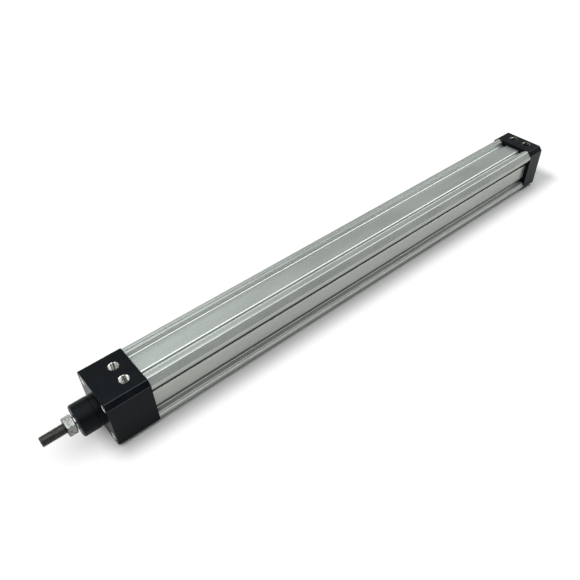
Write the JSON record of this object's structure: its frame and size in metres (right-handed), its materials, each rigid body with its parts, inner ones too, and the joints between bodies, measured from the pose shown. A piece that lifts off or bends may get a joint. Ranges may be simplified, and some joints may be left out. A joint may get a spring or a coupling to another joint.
{
  "type": "pneumatic cylinder",
  "caption": "Double-acting square-profile air cylinder: black end caps, grooved aluminium barrel, threaded rod end with jam nut, adjustable cushions.",
  "frame": {"origin": "centre of the front cap's outer face, on the rod's axis", "axes": "+X along the rod's axis, the way the rod comes out; +Z towards the face with the ports; the rod is fully retracted"},
  "size_m": [0.653, 0.055, 0.055],
  "materials": {
    "barrel_aluminium": "satin anodised extrusion with fine draw lines",
    "black_cap": "black satin coating, bare metal in the drilled holes",
    "black_gland": "black semi-gloss coating, turned",
    "rod_steel": "hard chromed and ground, dark rolled thread",
    "nut_plating": "bright plated",
    "screw_steel": "zinc plated",
    "needle_brass": "turned brass",
    "bush_bronze": "sintered bronze",
    "seal_rubber": "matt nitrile rubber",
    "wiper_polyurethane": "dark polyurethane",
    "guide_polymer": "matt slide polymer",
    "piston_aluminium": "machined",
    "magnet_plastoferrite": "dark bonded magnet"
  },
  "bodies": {
    "barrel_body": {"barrel": "barrel_aluminium", "front_cap": "black_cap", "rear_cap": "black_cap", "rod_gland": "black_gland", "gland_o_ring": "seal_rubber", "rod_bush": "bush_bronze", "rod_wiper": "wiper_polyurethane", "rod_seal": "seal_rubber", "seal_washer": "screw_steel", "front_barrel_seal": "seal_rubber", "rear_barrel_seal": "seal_rubber", "front_cushion_seal": "seal_rubber", "rear_cushion_seal": "seal_rubber", "front_cap_screws": "screw_steel", "rear_cap_screws": "screw_steel"},
    "piston_packing": {"piston_guide_ring": "guide_polymer", "piston_seal_front": "seal_rubber", "piston_seal_rear": "seal_rubber"},
    "rod_body": {"piston_rod": "rod_steel", "piston_front_half": "piston_aluminium", "piston_rear_half": "piston_aluminium", "piston_magnet": "magnet_plastoferrite", "piston_o_ring": "seal_rubber", "front_cushion_sleeve": "piston_aluminium", "cushion_nut": "piston_aluminium"},
    "nut_body": {"rod_nut": "nut_plating"},
    "front_needle_body": {"front_needle": "needle_brass", "front_needle_ring": "seal_rubber"},
    "rear_needle_body": {"rear_needle": "needle_brass", "rear_needle_ring": "seal_rubber"}
  },
  "joints": [
    {"name": "rod_slide", "type": "slide", "parent": "barrel_body", "child": "piston_packing", "axis": [1, 0, 0], "range_m": [0, 0.5]},
    {"name": "rod_turn", "type": "hinge", "parent": "piston_packing", "child": "rod_body", "pos_m": [0, 0, 0], "axis": [1, 0, 0], "continuous": true},
    {"name": "nut_turn", "type": "hinge", "parent": "rod_body", "child": "nut_body", "pos_m": [0.0258, 0, 0], "axis": [1, 0, 0], "continuous": true},
    {"name": "front_needle_turn", "type": "hinge", "parent": "barrel_body", "child": "front_needle_body", "pos_m": [-0.026, -0.0091, 0.0165], "axis": [0, 0, 1], "range_deg": [-540, 540]},
    {"name": "rear_needle_turn", "type": "hinge", "parent": "barrel_body", "child": "rear_needle_body", "pos_m": [-0.5935, -0.0091, 0.0165], "axis": [0, 0, 1], "range_deg": [-540, 540]}
  ]
}
